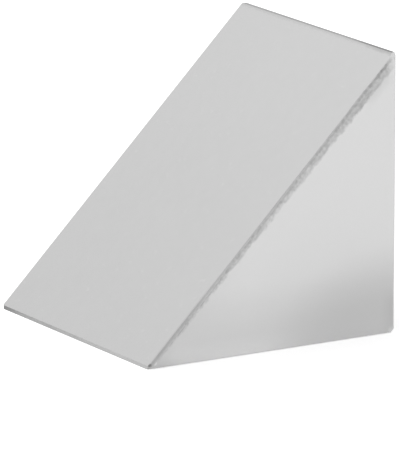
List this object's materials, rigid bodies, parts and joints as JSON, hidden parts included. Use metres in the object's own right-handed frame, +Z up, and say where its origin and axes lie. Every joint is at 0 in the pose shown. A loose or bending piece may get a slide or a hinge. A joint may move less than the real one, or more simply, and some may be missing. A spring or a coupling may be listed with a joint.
{
  "type": "right-angle prism",
  "caption": "Solid right-angle triangular prism with a mirror-coated sloping face, fine-ground leg and end faces, and bevelled, lightly chipped edges.",
  "frame": {"origin": "centre of the square base face that the prism lies on", "axes": "+Z up, out of the base face into the glass; +X towards the upright back face; +Y along the prism, from the near end to the far end"},
  "size_m": [0.0247, 0.025, 0.0246],
  "materials": {
    "coated_glass": "fine-ground glass with a bright metal mirror film on the sloping face"
  },
  "bodies": {
    "root": {"prism": "coated_glass"}
  },
  "joints": []
}
